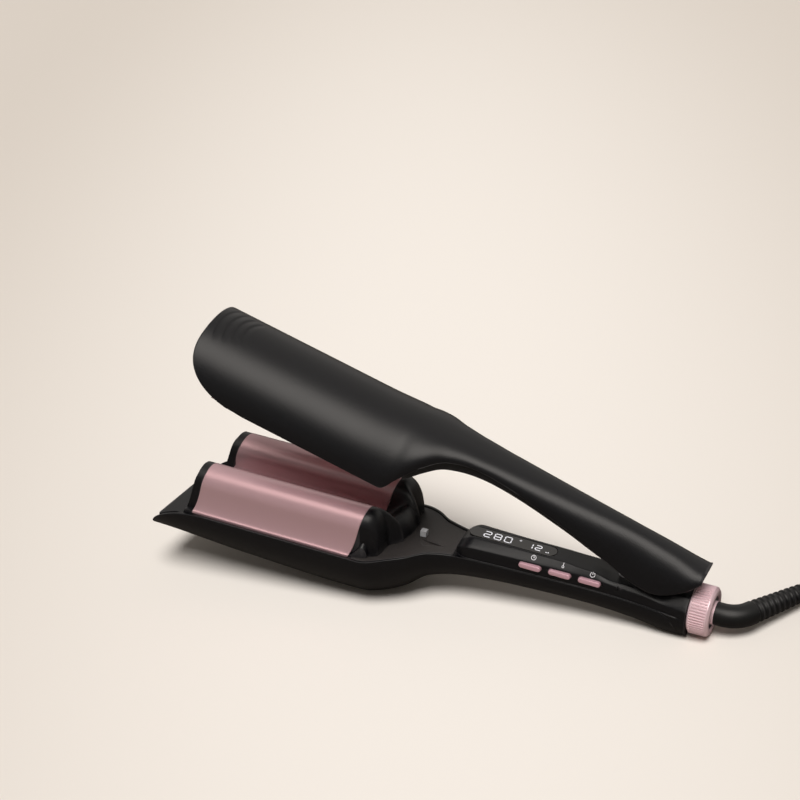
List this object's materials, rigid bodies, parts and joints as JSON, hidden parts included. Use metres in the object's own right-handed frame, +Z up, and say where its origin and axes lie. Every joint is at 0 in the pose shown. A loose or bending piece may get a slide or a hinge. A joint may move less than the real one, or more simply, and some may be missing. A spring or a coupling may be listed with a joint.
{
  "type": "hair waver",
  "caption": "Hinged hair tool with a deep waved plate in each jaw, a display and buttons on its handle, a knurled rear ring and a swivel mains cord.",
  "frame": {"origin": "centre line of the tool at the flat under the lower jaw, on the surface that it rests on", "axes": "+X runs along the tool from the jaws towards the cord, +Y points away from the side with the buttons, +Z is up"},
  "size_m": [0.4822, 0.128, 0.1585],
  "materials": {
    "satin_black": "satin soft-touch black",
    "dark_plastic": "matt dark grey",
    "rose_plate": "rose-gold ceramic coating, satin",
    "ring_metal": "satin pink",
    "button_pink": "satin pink",
    "display_black": "glossy smoked window",
    "pale_plastic": "matt",
    "heater_ceramic": "matt",
    "board": "semi-gloss lacquer",
    "steel": "satin",
    "cord_rubber": "satin black"
  },
  "bodies": {
    "lower_arm": {"lower_shell": "satin_black", "lower_carrier": "dark_plastic", "lower_plate": "rose_plate", "lower_heaters": "heater_ceramic", "lower_front_cap": "satin_black", "lower_rear_cap": "satin_black", "rear_cap_clip": "pale_plastic", "neck_cover": "dark_plastic", "control_cover": "satin_black", "display_lens": "display_black", "display_module": "pale_plastic", "control_board": "board", "arm_spring": "steel", "handle_screws": "steel", "tail_socket": "dark_plastic"},
    "upper_arm": {"upper_shell": "satin_black", "upper_liner": "dark_plastic", "upper_carrier": "dark_plastic", "upper_plate": "rose_plate", "upper_heater": "heater_ceramic", "upper_front_cap": "satin_black", "upper_rear_cap": "satin_black", "hinge_pin": "steel"},
    "timer_button": {"button_timer": "button_pink"},
    "unit_button": {"button_unit": "button_pink"},
    "power_button": {"button_power": "button_pink"},
    "ring": {"lock_ring": "ring_metal"},
    "cord_swivel": {"swivel_bush": "dark_plastic", "cord_boot": "cord_rubber", "cord_lead": "cord_rubber", "cord_coil": "cord_rubber", "coil_tie": "dark_plastic", "cord_tail": "cord_rubber", "plug_body": "cord_rubber", "plug_blades": "steel"}
  },
  "joints": [
    {"name": "jaw_hinge", "type": "hinge", "parent": "lower_arm", "child": "upper_arm", "pos_m": [0.16803, 0, 0.0321], "axis": [0, 1, 0], "range_deg": [-15, 0], "stiffness_Nm_per_rad": 1.2, "springref_deg": 20.05, "deforming": ["arm_spring"]},
    {"name": "timer_press", "type": "slide", "parent": "lower_arm", "child": "timer_button", "axis": [0, 1, 0], "range_m": [0, 0.0006], "stiffness_N_per_m": 900},
    {"name": "unit_press", "type": "slide", "parent": "lower_arm", "child": "unit_button", "axis": [0, 1, 0], "range_m": [0, 0.0006], "stiffness_N_per_m": 900},
    {"name": "power_press", "type": "slide", "parent": "lower_arm", "child": "power_button", "axis": [0, 1, 0], "range_m": [0, 0.0006], "stiffness_N_per_m": 900},
    {"name": "ring_lock", "type": "hinge", "parent": "lower_arm", "child": "ring", "pos_m": [0.19401, 0, 0.01455], "axis": [0.9905, 0, -0.1379], "range_deg": [0, 60]},
    {"name": "cord_turn", "type": "hinge", "parent": "lower_arm", "child": "cord_swivel", "pos_m": [0.2005, 0, 0.01365], "axis": [0.9905, 0, -0.1379], "continuous": true}
  ]
}
